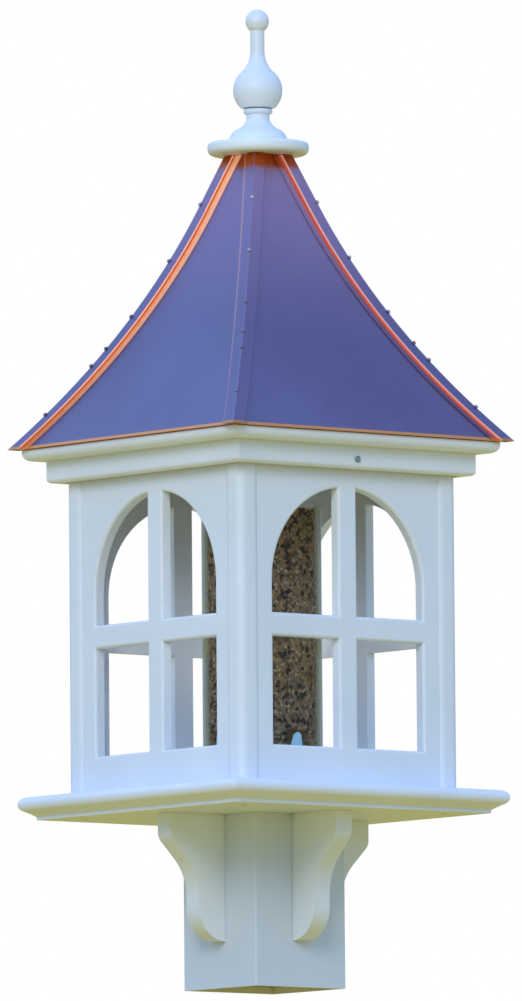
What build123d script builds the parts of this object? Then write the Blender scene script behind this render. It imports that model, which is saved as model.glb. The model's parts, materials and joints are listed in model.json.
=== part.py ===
from build123d import *
from math import acos, atan2, cos, degrees, radians, sin, sqrt
import os

# Square gazebo bird feeder that sits on a post: a moulded base on a hollow post sleeve with four
# brackets, four arched window walls between corner posts, a clear seed tube, and a lift-off
# copper roof with a turned finial.
# Millimetres, +Z up. The origin is the middle of the sleeve's bottom end. -Y is the front.

# ---- driving dimensions -------------------------------------------------------------------
SLEEVE_SIDE = 127.0          # outside of the hollow post sleeve
SLEEVE_WALL = 3.8
SLEEVE_HEIGHT = 190.5
POST_SOCKET_SIDE = 91.0      # takes a nominal 4 x 4 post, 89 mm
COLLAR_THICK = 12.7
COLLAR_LOW_Z = 8.0
MOUNT_BLOCK_THICK = 38.0

BRACKET_REACH = 76.2
BRACKET_HEIGHT = 139.7
BRACKET_THICK = 22.2
BRACKET_STEM = 37.0          # reach of the bracket below its curve

BASE_SIDE = 385.4            # over the widest part of the moulded edge
BASE_THICK = 25.4
FLOOR_THICK = 19.05

HOUSE_SIDE = 306.4           # over the corner posts
POST_SIDE = 25.4
POST_ROUND = 9.0             # radius on the posts' outer edges
POST_EASE = 3.0              # and on the edge inside the house
PANEL_THICK = 12.7
PANEL_INSET = 2.4            # the posts stand this far proud of the panels
WALL_HEIGHT = 371.1

WINDOW_HALF = 105.7          # half the width of the window, and the radius of its arch
MUNTIN = 25.4                # width of both glazing bars
SILL_ABOVE_BASE = 41.4
LOWER_LIGHT_HEIGHT = 118.9
UPPER_STRAIGHT = 35.0        # straight part of the upper lights, under the arch
WINDOW_ROUND = 3.2           # round-over on the outer edges of the lights

TUBE_RADIUS = 66.0
TUBE_WALL = 3.2
TUBE_HEIGHT = 299.0
NOTCH_HEIGHT = 46.0
NOTCH_HALF_LOW = 13.0
NOTCH_HALF_HIGH = 6.5
CONE_HEIGHT = 44.0
CONE_RING_THICK = 5.0
SEED_GAP = 0.3               # air between the seed and what it rests against
SEED_TOP_BELOW_RIM = 7.0

FRIEZE_SIDE = 336.4
FRIEZE_THICK = 12.7
FRIEZE_HEIGHT = 24.6
FRIEZE_ROUND = 4.5
CORNICE_SIDE = 375.0
CORNICE_THICK = 12.7
CORNICE_WIDTH = 62.0
CORNICE_EASE = 1.5              # radius along the top of the cornice edge
CORNICE_ROUND = 9.0             # radius along the bottom of it

ROOF_EAVE_HALF = 191.0       # outer face of the copper at the eave
ROOF_EAVE_ABOVE_CORNICE = 0.3
ROOF_HEIGHT = 321.0
ROOF_CURVE_RADIUS = 897.0
ROOF_TOP_SLOPE = 19.86       # degrees from vertical, at the top
ROOF_EAVE_SLOPE = 39.34      # degrees from vertical, at the eave
COPPER = 0.8
HEM_RADIUS = 1.5
CAP_SHEET = 1.2
CAP_STANDOFF = 6.0           # top of the hip cap above the panels
CAP_WIDTH = 8.4              # from the hip to the cap's edge, level along each panel
CAP_FOOT = 9.5                  # how far its feet lie out on the panels
RAFTER_THICK = 12.7
RAFTER_DEPTH = 24.0
APEX_BLOCK_HEIGHT = 44.0
NAIL_RISES = (38.5, 91.5, 110.5, 145.5, 206.5, 268.5)     # nails along each hip, above the eave
NAIL_RADIUS = 2.4

DISC_RADIUS = 56.0
DISC_THICK = 14.0
FINIAL_HEIGHT = 148.0
ROD_RADIUS = 4.0
SCREW_RADIUS = 2.0
SCREW_HEAD = 3.6
HOLE_GAP = 0.06              # radial air round every screw and rod
FIT = 0.2                    # air between boards that are slid together

# ---- levels and places worked out from the sizes above ------------------------------------
BASE_Z = SLEEVE_HEIGHT
BASE_TOP = BASE_Z + BASE_THICK
FLOOR_TOP = BASE_TOP + FLOOR_THICK
WALL_TOP = BASE_TOP + WALL_HEIGHT
SILL_Z = BASE_TOP + SILL_ABOVE_BASE
LOWER_TOP = SILL_Z + LOWER_LIGHT_HEIGHT
UPPER_Z = LOWER_TOP + MUNTIN
SPRING_Z = UPPER_Z + UPPER_STRAIGHT
FRIEZE_Z = WALL_TOP - FRIEZE_HEIGHT
CORNICE_Z = WALL_TOP
CORNICE_TOP = CORNICE_Z + CORNICE_THICK
EAVE_Z = CORNICE_TOP + ROOF_EAVE_ABOVE_CORNICE
ROOF_TOP = EAVE_Z + ROOF_HEIGHT
DISC_Z = ROOF_TOP + 0.5
DISC_TOP = DISC_Z + DISC_THICK

HOUSE_HALF = HOUSE_SIDE / 2
PANEL_FACE = HOUSE_HALF - PANEL_INSET
PANEL_BACK = PANEL_FACE - PANEL_THICK
POST_CENTRE = HOUSE_HALF - POST_SIDE / 2
SLEEVE_INNER = SLEEVE_SIDE / 2 - SLEEVE_WALL
BRACKET_Z = BASE_Z - BRACKET_HEIGHT
FRIEZE_HALF = FRIEZE_SIDE / 2
CORNICE_HALF = CORNICE_SIDE / 2
SEED_TOP = FLOOR_TOP + TUBE_HEIGHT - SEED_TOP_BELOW_RIM
TUBE_INNER = TUBE_RADIUS - TUBE_WALL
RETAINING_Z = FRIEZE_Z + 10.0

SIDES = {"front": 0, "right": 90, "back": 180, "left": 270}
CORNERS = {"front_right": 0, "back_right": 90, "back_left": 180, "front_left": 270}

os.makedirs("parts", exist_ok=True)


# ---- helpers ------------------------------------------------------------------------------
def save(name, shape):
    export_step(shape, f"parts/{name}.step")


def group(solids):
    """Separate solids kept together in one node."""
    return Compound(children=list(solids))


def block(x0, x1, y0, y1, z0, z1):
    """A box between two corners."""
    return Pos((x0 + x1) / 2, (y0 + y1) / 2, (z0 + z1) / 2) * Box(x1 - x0, y1 - y0, z1 - z0)


def rod(radius, z0, z1, x=0.0, y=0.0):
    """An upright cylinder."""
    return Pos(x, y, (z0 + z1) / 2) * Cylinder(radius, z1 - z0)


def outline_xz(*edges):
    """A face standing in the XZ plane."""
    return Plane.XZ * make_face(list(edges))


def turned(name, shape, places):
    """Save one copy of a shape at each quarter turn."""
    for place, angle in places.items():
        save(f"{name}_{place}", Rot(0, 0, angle) * shape)


def four_corners(shape):
    return [Rot(0, 0, angle) * shape for angle in CORNERS.values()]


def wood_screw(length, head_drop=2.4):
    """A countersunk screw, head at z = 0 and pointing up."""
    head = Pos(0, 0, head_drop / 2) * Cone(SCREW_HEAD, SCREW_RADIUS, head_drop)
    shank = rod(SCREW_RADIUS, head_drop, length - 3.0)
    tip = Pos(0, 0, length - 1.5) * Cone(SCREW_RADIUS, 0.4, 3.0)
    return head + shank + tip


def screw_hole(length, head_drop=2.4):
    """The space that wood_screw needs, with its air gap."""
    head = Pos(0, 0, head_drop / 2) * Cone(SCREW_HEAD + HOLE_GAP, SCREW_RADIUS + HOLE_GAP, head_drop)
    return head + rod(SCREW_RADIUS + HOLE_GAP, head_drop - 0.01, length + 0.5)


# ---- post sleeve and what is inside it ----------------------------------------------------
BRACKET_SCREW_Z = (BRACKET_Z + 45.0, BASE_Z - 22.0)
BRACKET_SCREW_LENGTH = 26.0


def bracket_screw_places():
    """Each bracket is held by two screws driven outward from inside the sleeve."""
    for angle in SIDES.values():
        for z in BRACKET_SCREW_Z:
            yield Rot(0, 0, angle) * Pos(0, -SLEEVE_INNER, z) * Rot(90, 0, 0)


def post_sleeve():
    tube = block(-SLEEVE_SIDE / 2, SLEEVE_SIDE / 2, -SLEEVE_SIDE / 2, SLEEVE_SIDE / 2, 0, SLEEVE_HEIGHT)
    tube = fillet(tube.edges().filter_by(Axis.Z), 2.5)
    bore = block(-SLEEVE_INNER, SLEEVE_INNER, -SLEEVE_INNER, SLEEVE_INNER, 0, SLEEVE_HEIGHT)
    bore = fillet(bore.edges().filter_by(Axis.Z), 1.0)
    tube -= bore
    for place in bracket_screw_places():
        tube -= place * screw_hole(BRACKET_SCREW_LENGTH)
    return tube


def sleeve_insert(z0, z1, hole_half=0.0):
    """A square board glued inside the sleeve, with an optional square hole for the post."""
    half = SLEEVE_INNER - FIT
    board = block(-half, half, -half, half, z0, z1)
    board = fillet(board.edges().filter_by(Axis.Z), 1.5)
    if hole_half:
        board -= block(-hole_half, hole_half, -hole_half, hole_half, z0, z1)
    return board


BLOCK_SCREW_OFFSET = 42.0
BLOCK_SCREW_LENGTH = 50.0


def block_screw_places():
    """Screws through the base down into the mounting block."""
    for angle in CORNERS.values():
        yield Rot(0, 0, angle) * Pos(BLOCK_SCREW_OFFSET, -BLOCK_SCREW_OFFSET, BASE_TOP) * Rot(180, 0, 0)


def mounting_block():
    board = sleeve_insert(BASE_Z - MOUNT_BLOCK_THICK, BASE_Z)
    for place in block_screw_places():
        board -= place * screw_hole(BLOCK_SCREW_LENGTH)
    for place in bracket_screw_places():
        board -= place * Pos(0, 0, -4.0) * Cylinder(SCREW_HEAD + 1.0, 8.0)
    return board


def bracket():
    """Ogee bracket under the front of the base: a drop, a small round, a hollow, a stem and a
    quarter-round foot."""
    wall = SLEEVE_SIDE / 2
    top = BASE_Z
    nose = 13.0
    hollow = 58.0
    drop_z = top - 22.0
    bend = radians(45)
    nose_end = (BRACKET_REACH - nose * (1 - cos(bend)), drop_z - nose * sin(bend))
    hollow_top = (BRACKET_STEM + hollow * (1 - cos(bend)), 0.0)
    slope_run = nose_end[0] - hollow_top[0]
    hollow_top = (hollow_top[0], nose_end[1] - slope_run)
    hollow_z = hollow_top[1] - hollow * sin(bend)
    half_bend = bend / 2
    nose_mid = (BRACKET_REACH - nose * (1 - cos(half_bend)), drop_z - nose * sin(half_bend))
    hollow_mid = (BRACKET_STEM + hollow * (1 - cos(half_bend)), hollow_z + hollow * sin(half_bend))
    foot = BRACKET_STEM
    foot_mid = (foot * cos(bend), BRACKET_Z + foot - foot * sin(bend))
    face = outline_xz(
        Line((0, top), (BRACKET_REACH, top)),
        Line((BRACKET_REACH, top), (BRACKET_REACH, drop_z)),
        ThreePointArc((BRACKET_REACH, drop_z), nose_mid, nose_end),
        Line(nose_end, hollow_top),
        ThreePointArc(hollow_top, hollow_mid, (BRACKET_STEM, hollow_z)),
        Line((BRACKET_STEM, hollow_z), (BRACKET_STEM, BRACKET_Z + foot)),
        ThreePointArc((BRACKET_STEM, BRACKET_Z + foot), foot_mid, (0, BRACKET_Z)),
        Line((0, BRACKET_Z), (0, top)),
    )
    plate = extrude(face, BRACKET_THICK / 2, both=True)
    plate = Rot(0, 0, -90) * Pos(wall, 0, 0) * plate
    for place in bracket_screw_places():
        plate -= place * screw_hole(BRACKET_SCREW_LENGTH)
    return plate


# ---- base and floor -----------------------------------------------------------------------
BASE_SCREW_LENGTH = 55.0


def base_screw_places():
    """Screws up through the base into the corner posts."""
    for angle in CORNERS.values():
        yield Rot(0, 0, angle) * Pos(POST_CENTRE, -POST_CENTRE, BASE_Z)


def base_platform():
    """A board with a routed edge: a round top, a hollow bevel below and a thin lip."""
    edge = BASE_SIDE / 2
    face = outline_xz(
        Line((0, 0), (edge - 15.0, 0)),
        Line((edge - 15.0, 0), (edge - 15.0, 3.4)),
        ThreePointArc((edge - 15.0, 3.4), (edge - 9.6, 7.1), (edge - 4.0, 10.2)),
        ThreePointArc((edge - 4.0, 10.2), (edge - 1.2, 12.9), (edge, 17.0)),
        ThreePointArc((edge, 17.0), (edge - 2.4, 22.9), (edge - 8.4, BASE_THICK)),
        Line((edge - 8.4, BASE_THICK), (0, BASE_THICK)),
        Line((0, BASE_THICK), (0, 0)),
    )
    run = extrude(face, BASE_SIDE, both=True)
    half_x = run + Rot(0, 0, 180) * run
    board = Pos(0, 0, BASE_Z) * (half_x & (Rot(0, 0, 90) * half_x))
    for place in base_screw_places():
        board -= place * screw_hole(BASE_SCREW_LENGTH)
    for place in block_screw_places():
        board -= place * screw_hole(BLOCK_SCREW_LENGTH)
    return board


def floor_board():
    """The raised floor inside the walls, notched round the corner posts."""
    half = PANEL_BACK - FIT
    board = block(-half, half, -half, half, BASE_TOP, FLOOR_TOP)
    inner = HOUSE_HALF - POST_SIDE - FIT
    for corner in four_corners(block(inner, half + 1, -half - 1, -inner, BASE_TOP, FLOOR_TOP)):
        board -= corner
    board -= rod(SCREW_RADIUS + HOLE_GAP, BASE_TOP, FLOOR_TOP)
    for angle in CORNERS.values():
        clear = rod(SCREW_HEAD + 0.5, BASE_TOP, BASE_TOP + 1.5, BLOCK_SCREW_OFFSET, -BLOCK_SCREW_OFFSET)
        board -= Rot(0, 0, angle) * clear
    return board


# ---- corner posts and window walls --------------------------------------------------------
def post_section():
    """The front right post in plan. Its round meets each panel's face in a crease."""
    half = POST_SIDE / 2
    tangent = half - POST_ROUND
    corner = tangent + POST_ROUND * cos(radians(45))
    turn = acos(1 - PANEL_INSET / POST_ROUND)
    start = half - POST_ROUND * sin(turn)
    middle_out = tangent + POST_ROUND * cos(turn / 2)
    middle_along = start + POST_ROUND * sin(turn / 2)
    crease = half - PANEL_INSET
    return make_face([
        ThreePointArc((tangent, -half), (corner, -corner), (half, -tangent)),
        Line((half, -tangent), (half, start)),
        ThreePointArc((half, start), (middle_out, middle_along), (crease, half)),
        Line((crease, half), (-half, half)),
        Line((-half, half), (-half, -crease)),
        ThreePointArc((-half, -crease), (-middle_along, -middle_out), (-start, -half)),
        Line((-start, -half), (tangent, -half)),
    ])


def corner_post():
    """The front right post."""
    post = extrude(post_section(), WALL_TOP - BASE_TOP)
    inside = [e for e in post.edges().filter_by(Axis.Z) if e.center().Y - e.center().X > POST_SIDE - 0.01]
    post = fillet(inside, POST_EASE)
    post = Pos(POST_CENTRE, -POST_CENTRE, BASE_TOP) * post
    for place in base_screw_places():
        post -= place * screw_hole(BASE_SCREW_LENGTH)
    return post


def lower_light(side, grow=0.0):
    """One of the two rectangular lights, in the XZ plane. side is -1 or 1."""
    inner = MUNTIN / 2 - grow
    outer = WINDOW_HALF + grow
    return outline_xz(
        Line((side * inner, SILL_Z - grow), (side * outer, SILL_Z - grow)),
        Line((side * outer, SILL_Z - grow), (side * outer, LOWER_TOP + grow)),
        Line((side * outer, LOWER_TOP + grow), (side * inner, LOWER_TOP + grow)),
        Line((side * inner, LOWER_TOP + grow), (side * inner, SILL_Z - grow)),
    )


def upper_light(side, grow=0.0):
    """One of the two quarter-arch lights, in the XZ plane."""
    inner = MUNTIN / 2 - grow
    radius = WINDOW_HALF + grow
    crown = sqrt(radius ** 2 - inner ** 2)
    half_angle = atan2(crown, inner) / 2
    middle = (side * radius * cos(half_angle), SPRING_Z + radius * sin(half_angle))
    return outline_xz(
        Line((side * inner, UPPER_Z - grow), (side * radius, UPPER_Z - grow)),
        Line((side * radius, UPPER_Z - grow), (side * radius, SPRING_Z)),
        ThreePointArc((side * radius, SPRING_Z), middle, (side * inner, SPRING_Z + crown)),
        Line((side * inner, SPRING_Z + crown), (side * inner, UPPER_Z - grow)),
    )


def wall_panel():
    """The front wall: one board with four lights, rounded over on the outside."""
    half = HOUSE_HALF - POST_SIDE - FIT / 2
    board = block(-half, half, -PANEL_FACE, -PANEL_BACK, BASE_TOP, WALL_TOP)
    for side in (-1, 1):
        for light in (lower_light, upper_light):
            hole = extrude(light(side), PANEL_THICK, both=True)
            board -= Pos(0, -(PANEL_FACE + PANEL_BACK) / 2, 0) * hole
    front = [e for e in board.edges() if abs(e.center().Y + PANEL_FACE) < 0.01]
    inside = [e for e in front if abs(e.center().X) < half - 5 and SILL_Z - 1 < e.center().Z < WALL_TOP - 5]
    return fillet(inside, WINDOW_ROUND)


# ---- seed tube ----------------------------------------------------------------------------
def feed_notch():
    """The cutter for one feeding notch at the foot of the tube, on the front."""
    arch = NOTCH_HALF_HIGH
    straight = NOTCH_HEIGHT - arch
    face = outline_xz(
        Line((-NOTCH_HALF_LOW, 0), (NOTCH_HALF_LOW, 0)),
        Line((NOTCH_HALF_LOW, 0), (arch, straight)),
        ThreePointArc((arch, straight), (0, NOTCH_HEIGHT), (-arch, straight)),
        Line((-arch, straight), (-NOTCH_HALF_LOW, 0)),
    )
    return Pos(0, 0, FLOOR_TOP) * extrude(face, TUBE_RADIUS + 10)


def seed_tube():
    """Clear tube, open at both ends, with four feeding notches at its foot."""
    tube = rod(TUBE_RADIUS, FLOOR_TOP, FLOOR_TOP + TUBE_HEIGHT)
    tube -= rod(TUBE_INNER, FLOOR_TOP, FLOOR_TOP + TUBE_HEIGHT)
    for angle in SIDES.values():
        tube -= Rot(0, 0, angle) * feed_notch()
    return tube


def seed_cone():
    """Cone on the floor that centres the tube and pushes the seed out to the notches."""
    ring = TUBE_INNER - FIT
    slope = Pos(0, 0, CONE_RING_THICK + CONE_HEIGHT / 2) * Cone(ring - 4.0, 4.0, CONE_HEIGHT)
    cone = Pos(0, 0, FLOOR_TOP) * (rod(ring, 0, CONE_RING_THICK) + slope)
    return cone - rod(SCREW_RADIUS + HOLE_GAP, FLOOR_TOP, FLOOR_TOP + 60) - cone_screw_seat()


def cone_screw_seat():
    top = FLOOR_TOP + CONE_RING_THICK + CONE_HEIGHT
    return Pos(0, 0, top - 1.2) * Cone(SCREW_RADIUS + HOLE_GAP, SCREW_HEAD + HOLE_GAP, 2.4)


def cone_screw():
    top = FLOOR_TOP + CONE_RING_THICK + CONE_HEIGHT
    return Pos(0, 0, top) * Rot(180, 0, 0) * wood_screw(62.0)


def seed_fill():
    """The seed in the tube, drawn back where birds have fed at the notches."""
    radius = TUBE_INNER - SEED_GAP
    bottom = FLOOR_TOP + CONE_RING_THICK + SEED_GAP
    seed = rod(radius, bottom, SEED_TOP)
    slope = Cone(TUBE_INNER - FIT - 4.0 + 2 * SEED_GAP, 5.0, CONE_HEIGHT)
    seed -= Pos(0, 0, bottom + CONE_HEIGHT / 2) * slope
    reach = TUBE_RADIUS + 5
    pocket = block(-16.0, 16.0, -reach, -reach + 30.0, bottom - 1, FLOOR_TOP + NOTCH_HEIGHT + 2)
    for angle in SIDES.values():
        seed -= Rot(0, 0, angle) * pocket
    return seed


# ---- frieze and cornice -------------------------------------------------------------------
def mitre_wedge(reach, z0, z1, gap=0.05):
    """The quarter of space in front of the two mitre planes."""
    corner = Polyline((0, -gap), (reach, -reach - gap), (-reach, -reach - gap), close=True)
    return Pos(0, 0, z0) * extrude(make_face(corner), z1 - z0)


FRIEZE_SCREW_X = 110.0
FRIEZE_SCREW_LENGTH = 30.0


def frieze_screw_places():
    """Screws down through the cornice into the frieze boards, two on each side."""
    middle = FRIEZE_HALF - FRIEZE_THICK / 2
    for angle in SIDES.values():
        for x in (-FRIEZE_SCREW_X, FRIEZE_SCREW_X):
            yield Rot(0, 0, angle) * Pos(x, -middle, CORNICE_TOP) * Rot(180, 0, 0)


def frieze_board(has_retaining_hole):
    """The front skirt board, mitred at the corners."""
    run = block(-FRIEZE_HALF, FRIEZE_HALF, -FRIEZE_HALF, -FRIEZE_HALF + FRIEZE_THICK, FRIEZE_Z, WALL_TOP)
    low = [e for e in run.edges().filter_by(Axis.X) if e.center().Z < FRIEZE_Z + 1]
    run = fillet([e for e in low if e.center().Y < -FRIEZE_HALF + 1], FRIEZE_ROUND)
    run &= mitre_wedge(FRIEZE_HALF + 5, FRIEZE_Z - 1, WALL_TOP + 1)
    for place in frieze_screw_places():
        run -= place * screw_hole(FRIEZE_SCREW_LENGTH)
    if has_retaining_hole:
        hole = Pos(0, -FRIEZE_HALF, RETAINING_Z) * Rot(90, 0, 0) * Cylinder(SCREW_RADIUS + HOLE_GAP, 60)
        run -= hole
    return run


def quarter_turn(start, end, centre):
    """An arc of a quarter circle from start to end, in the XZ plane."""
    radius = abs(start[0] - end[0])
    lean = Vector(start[0] + end[0] - 2 * centre[0], start[1] + end[1] - 2 * centre[1]).normalized() * radius
    return ThreePointArc(start, (centre[0] + lean.X, centre[1] + lean.Y), end)


def cornice_board():
    """The front cornice board: eased above, a quarter round below, mitred at the corners."""
    edge = CORNICE_HALF
    back = edge - CORNICE_WIDTH
    low = edge - CORNICE_ROUND
    high = edge - CORNICE_EASE
    ease_z = CORNICE_THICK - CORNICE_EASE
    face = outline_xz(
        Line((back, 0), (low, 0)),
        quarter_turn((low, 0), (edge, CORNICE_ROUND), (low, CORNICE_ROUND)),
        Line((edge, CORNICE_ROUND), (edge, ease_z)),
        quarter_turn((edge, ease_z), (high, CORNICE_THICK), (high, ease_z)),
        Line((high, CORNICE_THICK), (back, CORNICE_THICK)),
        Line((back, CORNICE_THICK), (back, 0)),
    )
    run = Rot(0, 0, -90) * Pos(0, 0, CORNICE_Z) * extrude(face, CORNICE_SIDE, both=True)
    run &= mitre_wedge(CORNICE_HALF + 20, CORNICE_Z - 1, CORNICE_TOP + 1)
    for place in frieze_screw_places():
        run -= place * screw_hole(FRIEZE_SCREW_LENGTH)
    return run


def retaining_screw():
    """Screw through the frieze whose point pinches the wall panel and keeps the roof down."""
    face_y = -FRIEZE_HALF
    tip_y = -PANEL_FACE - 0.05
    head = Pos(0, face_y - 1.15, RETAINING_Z) * Rot(90, 0, 0) * Cylinder(SCREW_HEAD, 2.1)
    head = fillet([e for e in head.edges() if e.center().Y < face_y - 2], 0.9)
    length = tip_y - face_y
    shank = Pos(0, face_y + length / 2 - 0.05, RETAINING_Z) * Rot(90, 0, 0)
    screw = head + shank * Cylinder(SCREW_RADIUS, length + 0.1)
    slot = block(-SCREW_HEAD, SCREW_HEAD, face_y - 3, face_y - 1.4, RETAINING_Z - 0.4, RETAINING_Z + 0.4)
    return screw - slot


# ---- copper roof --------------------------------------------------------------------------
TOP_ANGLE = radians(ROOF_TOP_SLOPE)
EAVE_ANGLE = radians(ROOF_EAVE_SLOPE)
CURVE_X = ROOF_EAVE_HALF + ROOF_CURVE_RADIUS * cos(EAVE_ANGLE)
CURVE_Z = EAVE_Z + ROOF_CURVE_RADIUS * sin(EAVE_ANGLE)


def roof_half(offset, z):
    """Half the width of the roof at a level, for a surface set out by offset."""
    radius = ROOF_CURVE_RADIUS - offset
    straight_z = CURVE_Z - radius * sin(TOP_ANGLE)
    if z >= straight_z:
        straight_x = CURVE_X - radius * cos(TOP_ANGLE)
        return straight_x - (z - straight_z) * sin(TOP_ANGLE) / cos(TOP_ANGLE)
    rise = (CURVE_Z - z) / radius
    return CURVE_X - radius * sqrt(1 - rise ** 2)


def roof_run(offset, z0=EAVE_Z, z1=ROOF_TOP):
    """The right half of the roof's outline, run straight along Y."""
    radius = ROOF_CURVE_RADIUS - offset
    straight_z = CURVE_Z - radius * sin(TOP_ANGLE)
    low = (roof_half(offset, z0), z0)
    high = (roof_half(offset, z1), z1)
    edges = [Line((0, z0), low)]
    if z0 < straight_z:
        bend = (roof_half(offset, straight_z), straight_z)
        middle_z = (z0 + straight_z) / 2
        edges.append(ThreePointArc(low, (roof_half(offset, middle_z), middle_z), bend))
        edges.append(Line(bend, high))
    else:
        edges.append(Line(low, high))
    edges.append(Line(high, (0, z1)))
    edges.append(Line((0, z1), (0, z0)))
    return extrude(outline_xz(*edges), ROOF_EAVE_HALF + 30, both=True)


def roof_volume(offset, z0=EAVE_Z, z1=ROOF_TOP):
    """The solid under the roof surface that is set out by offset."""
    run = roof_run(offset, z0, z1)
    across = run + Rot(0, 0, 180) * run
    return across & (Rot(0, 0, 90) * across)


def hip_zone(width):
    """The space over the front right hip, out to a width measured level on each panel."""
    reach = ROOF_EAVE_HALF + 20
    inside = Pos(-width, 0, 0) * roof_run(0)
    zone = block(0.1, reach, -reach, -0.1, EAVE_Z - 1, ROOF_TOP + 1)
    return zone - inside - Rot(0, 0, -90) * inside


def slab_on_hip(thick):
    """An upright slab along the front right hip."""
    reach = ROOF_EAVE_HALF + 30
    slab = Box(2 * reach, thick, ROOF_HEIGHT + 60)
    return Pos(0, 0, EAVE_Z + ROOF_HEIGHT / 2) * Rot(0, 0, -45) * slab


def copper_panel(outer, inner):
    """The front roof panel, with a rolled hem along the eave."""
    sheet = (outer - inner) & mitre_wedge(ROOF_EAVE_HALF + 20, EAVE_Z - 1, ROOF_TOP + 1)
    hem_y = -roof_half(-HEM_RADIUS, EAVE_Z + HEM_RADIUS)
    hem = Pos(0, hem_y, EAVE_Z + HEM_RADIUS) * Rot(0, 90, 0)
    roll = hem * Cylinder(HEM_RADIUS, 2 * ROOF_EAVE_HALF + 20)
    roll &= mitre_wedge(ROOF_EAVE_HALF + 20, EAVE_Z - 1, EAVE_Z + 20)
    return sheet + roll


def hip_cap():
    """The folded strip over the front right hip: a raised top, turned-down edges and narrow feet."""
    raised = roof_volume(CAP_STANDOFF)
    skin = roof_volume(0.05)
    inside = hip_zone(CAP_WIDTH - CAP_SHEET)
    top = (raised - roof_volume(CAP_STANDOFF - CAP_SHEET)) & hip_zone(CAP_WIDTH)
    edges = (raised - skin) & (hip_zone(CAP_WIDTH) - inside)
    feet = (roof_volume(CAP_SHEET) - skin) & (hip_zone(CAP_WIDTH + CAP_FOOT) - inside)
    return top + edges + feet


def hip_rafter():
    """The rafter under the front right hip, bevelled to the roof and resting on the cornice."""
    low_z = CORNICE_TOP
    upper = roof_volume(-COPPER - FIT, low_z)
    lower = roof_volume(-COPPER - RAFTER_DEPTH, low_z - 1)
    shape = (upper - lower) & slab_on_hip(RAFTER_THICK)
    top = ROOF_TOP - APEX_BLOCK_HEIGHT - FIT
    reach = CORNICE_HALF - 7.0
    return shape & block(0, reach, -reach, 0, low_z, top)


def apex_block():
    """The block that closes the top of the roof and takes the finial rod."""
    low_z = ROOF_TOP - APEX_BLOCK_HEIGHT
    body = roof_volume(-COPPER - FIT, low_z, DISC_Z)
    return body - rod(ROD_RADIUS + HOLE_GAP, low_z - 1, DISC_Z + 1)


def hip_nails():
    """Small domed nails on the ridge of each hip cap."""
    nails = []
    for rise in NAIL_RISES:
        z = EAVE_Z + rise
        out = roof_half(CAP_STANDOFF, z)
        run = (roof_half(CAP_STANDOFF, z - 5) - roof_half(CAP_STANDOFF, z + 5)) * sqrt(2)
        tilt = 90 - degrees(atan2(run, 10.0))
        dome = Sphere(NAIL_RADIUS) & Pos(0, 0, NAIL_RADIUS / 2 + 0.1) * Box(9, 9, NAIL_RADIUS)
        nails.append(Pos(out, -out, z) * Rot(0, 0, -45) * Rot(0, tilt, 0) * dome)
    return group(Rot(0, 0, angle) * nail for angle in CORNERS.values() for nail in nails)


# ---- finial -------------------------------------------------------------------------------
def finial_disc():
    disc = rod(DISC_RADIUS, DISC_Z, DISC_TOP)
    disc = fillet(disc.edges().group_by(Axis.Z)[-1], 4.0)
    disc = fillet(disc.edges().group_by(Axis.Z)[0], 7.0)
    return disc - rod(ROD_RADIUS + HOLE_GAP, DISC_Z - 1, DISC_TOP + 1)


ROD_UP = 45.0                # how far the rod goes up into the finial


def finial():
    """Turned finial: ogee foot, neck, ring, bulb, long neck and ball."""
    bulb, bulb_z = 27.2, 58.2
    ball, ball_z = 13.0, 135.0
    neck, low_neck = 7.8, 12.9
    ring, ring_z = 16.2, 34.9
    bulb_low, bulb_high = 19.3, 16.0
    low_z = bulb_z - sqrt(bulb ** 2 - bulb_low ** 2)
    high_z = bulb_z + sqrt(bulb ** 2 - bulb_high ** 2)
    ball_low = ball_z - sqrt(ball ** 2 - neck ** 2)
    outline = outline_xz(
        Line((0, 0), (33.0, 0)),
        ThreePointArc((33.0, 0), (30.6, 8.0), (24.4, 14.4)),
        ThreePointArc((24.4, 14.4), (16.6, 19.4), (low_neck, 26.0)),
        Line((low_neck, 26.0), (low_neck, ring_z - 3.3)),
        ThreePointArc((low_neck, ring_z - 3.3), (ring, ring_z), (low_neck + 0.6, ring_z + 3.3)),
        Line((low_neck + 0.6, ring_z + 3.3), (bulb_low, low_z)),
        ThreePointArc((bulb_low, low_z), (bulb, bulb_z), (bulb_high, high_z)),
        ThreePointArc((bulb_high, high_z), (10.4, high_z + 9.0), (neck, high_z + 20.0)),
        Line((neck, high_z + 20.0), (neck, ball_low)),
        ThreePointArc((neck, ball_low), (ball, ball_z), (0, ball_z + ball)),
        Line((0, ball_z + ball), (0, 0)),
    )
    body = Pos(0, 0, DISC_TOP) * revolve(outline, Axis.Z)
    return body - rod(ROD_RADIUS + HOLE_GAP, DISC_TOP - 1, DISC_TOP + ROD_UP + 0.5)


def finial_rod():
    return chamfer(rod(ROD_RADIUS, ROOF_TOP - APEX_BLOCK_HEIGHT, DISC_TOP + ROD_UP).edges(), 0.8)


# ---- write every node ---------------------------------------------------------------------
save("post_sleeve", post_sleeve())
save("mounting_block", mounting_block())
save("lower_post_collar", sleeve_insert(COLLAR_LOW_Z, COLLAR_LOW_Z + COLLAR_THICK, POST_SOCKET_SIDE / 2))
COLLAR_HIGH_Z = BASE_Z - MOUNT_BLOCK_THICK - COLLAR_THICK
save("upper_post_collar", sleeve_insert(COLLAR_HIGH_Z, COLLAR_HIGH_Z + COLLAR_THICK, POST_SOCKET_SIDE / 2))
turned("bracket", bracket(), SIDES)
save("bracket_screws", group(p * wood_screw(BRACKET_SCREW_LENGTH) for p in bracket_screw_places()))
save("base_platform", base_platform())
save("block_screws", group(p * wood_screw(BLOCK_SCREW_LENGTH) for p in block_screw_places()))
save("base_screws", group(p * wood_screw(BASE_SCREW_LENGTH) for p in base_screw_places()))
save("floor_board", floor_board())
turned("corner_post", corner_post(), CORNERS)
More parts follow.
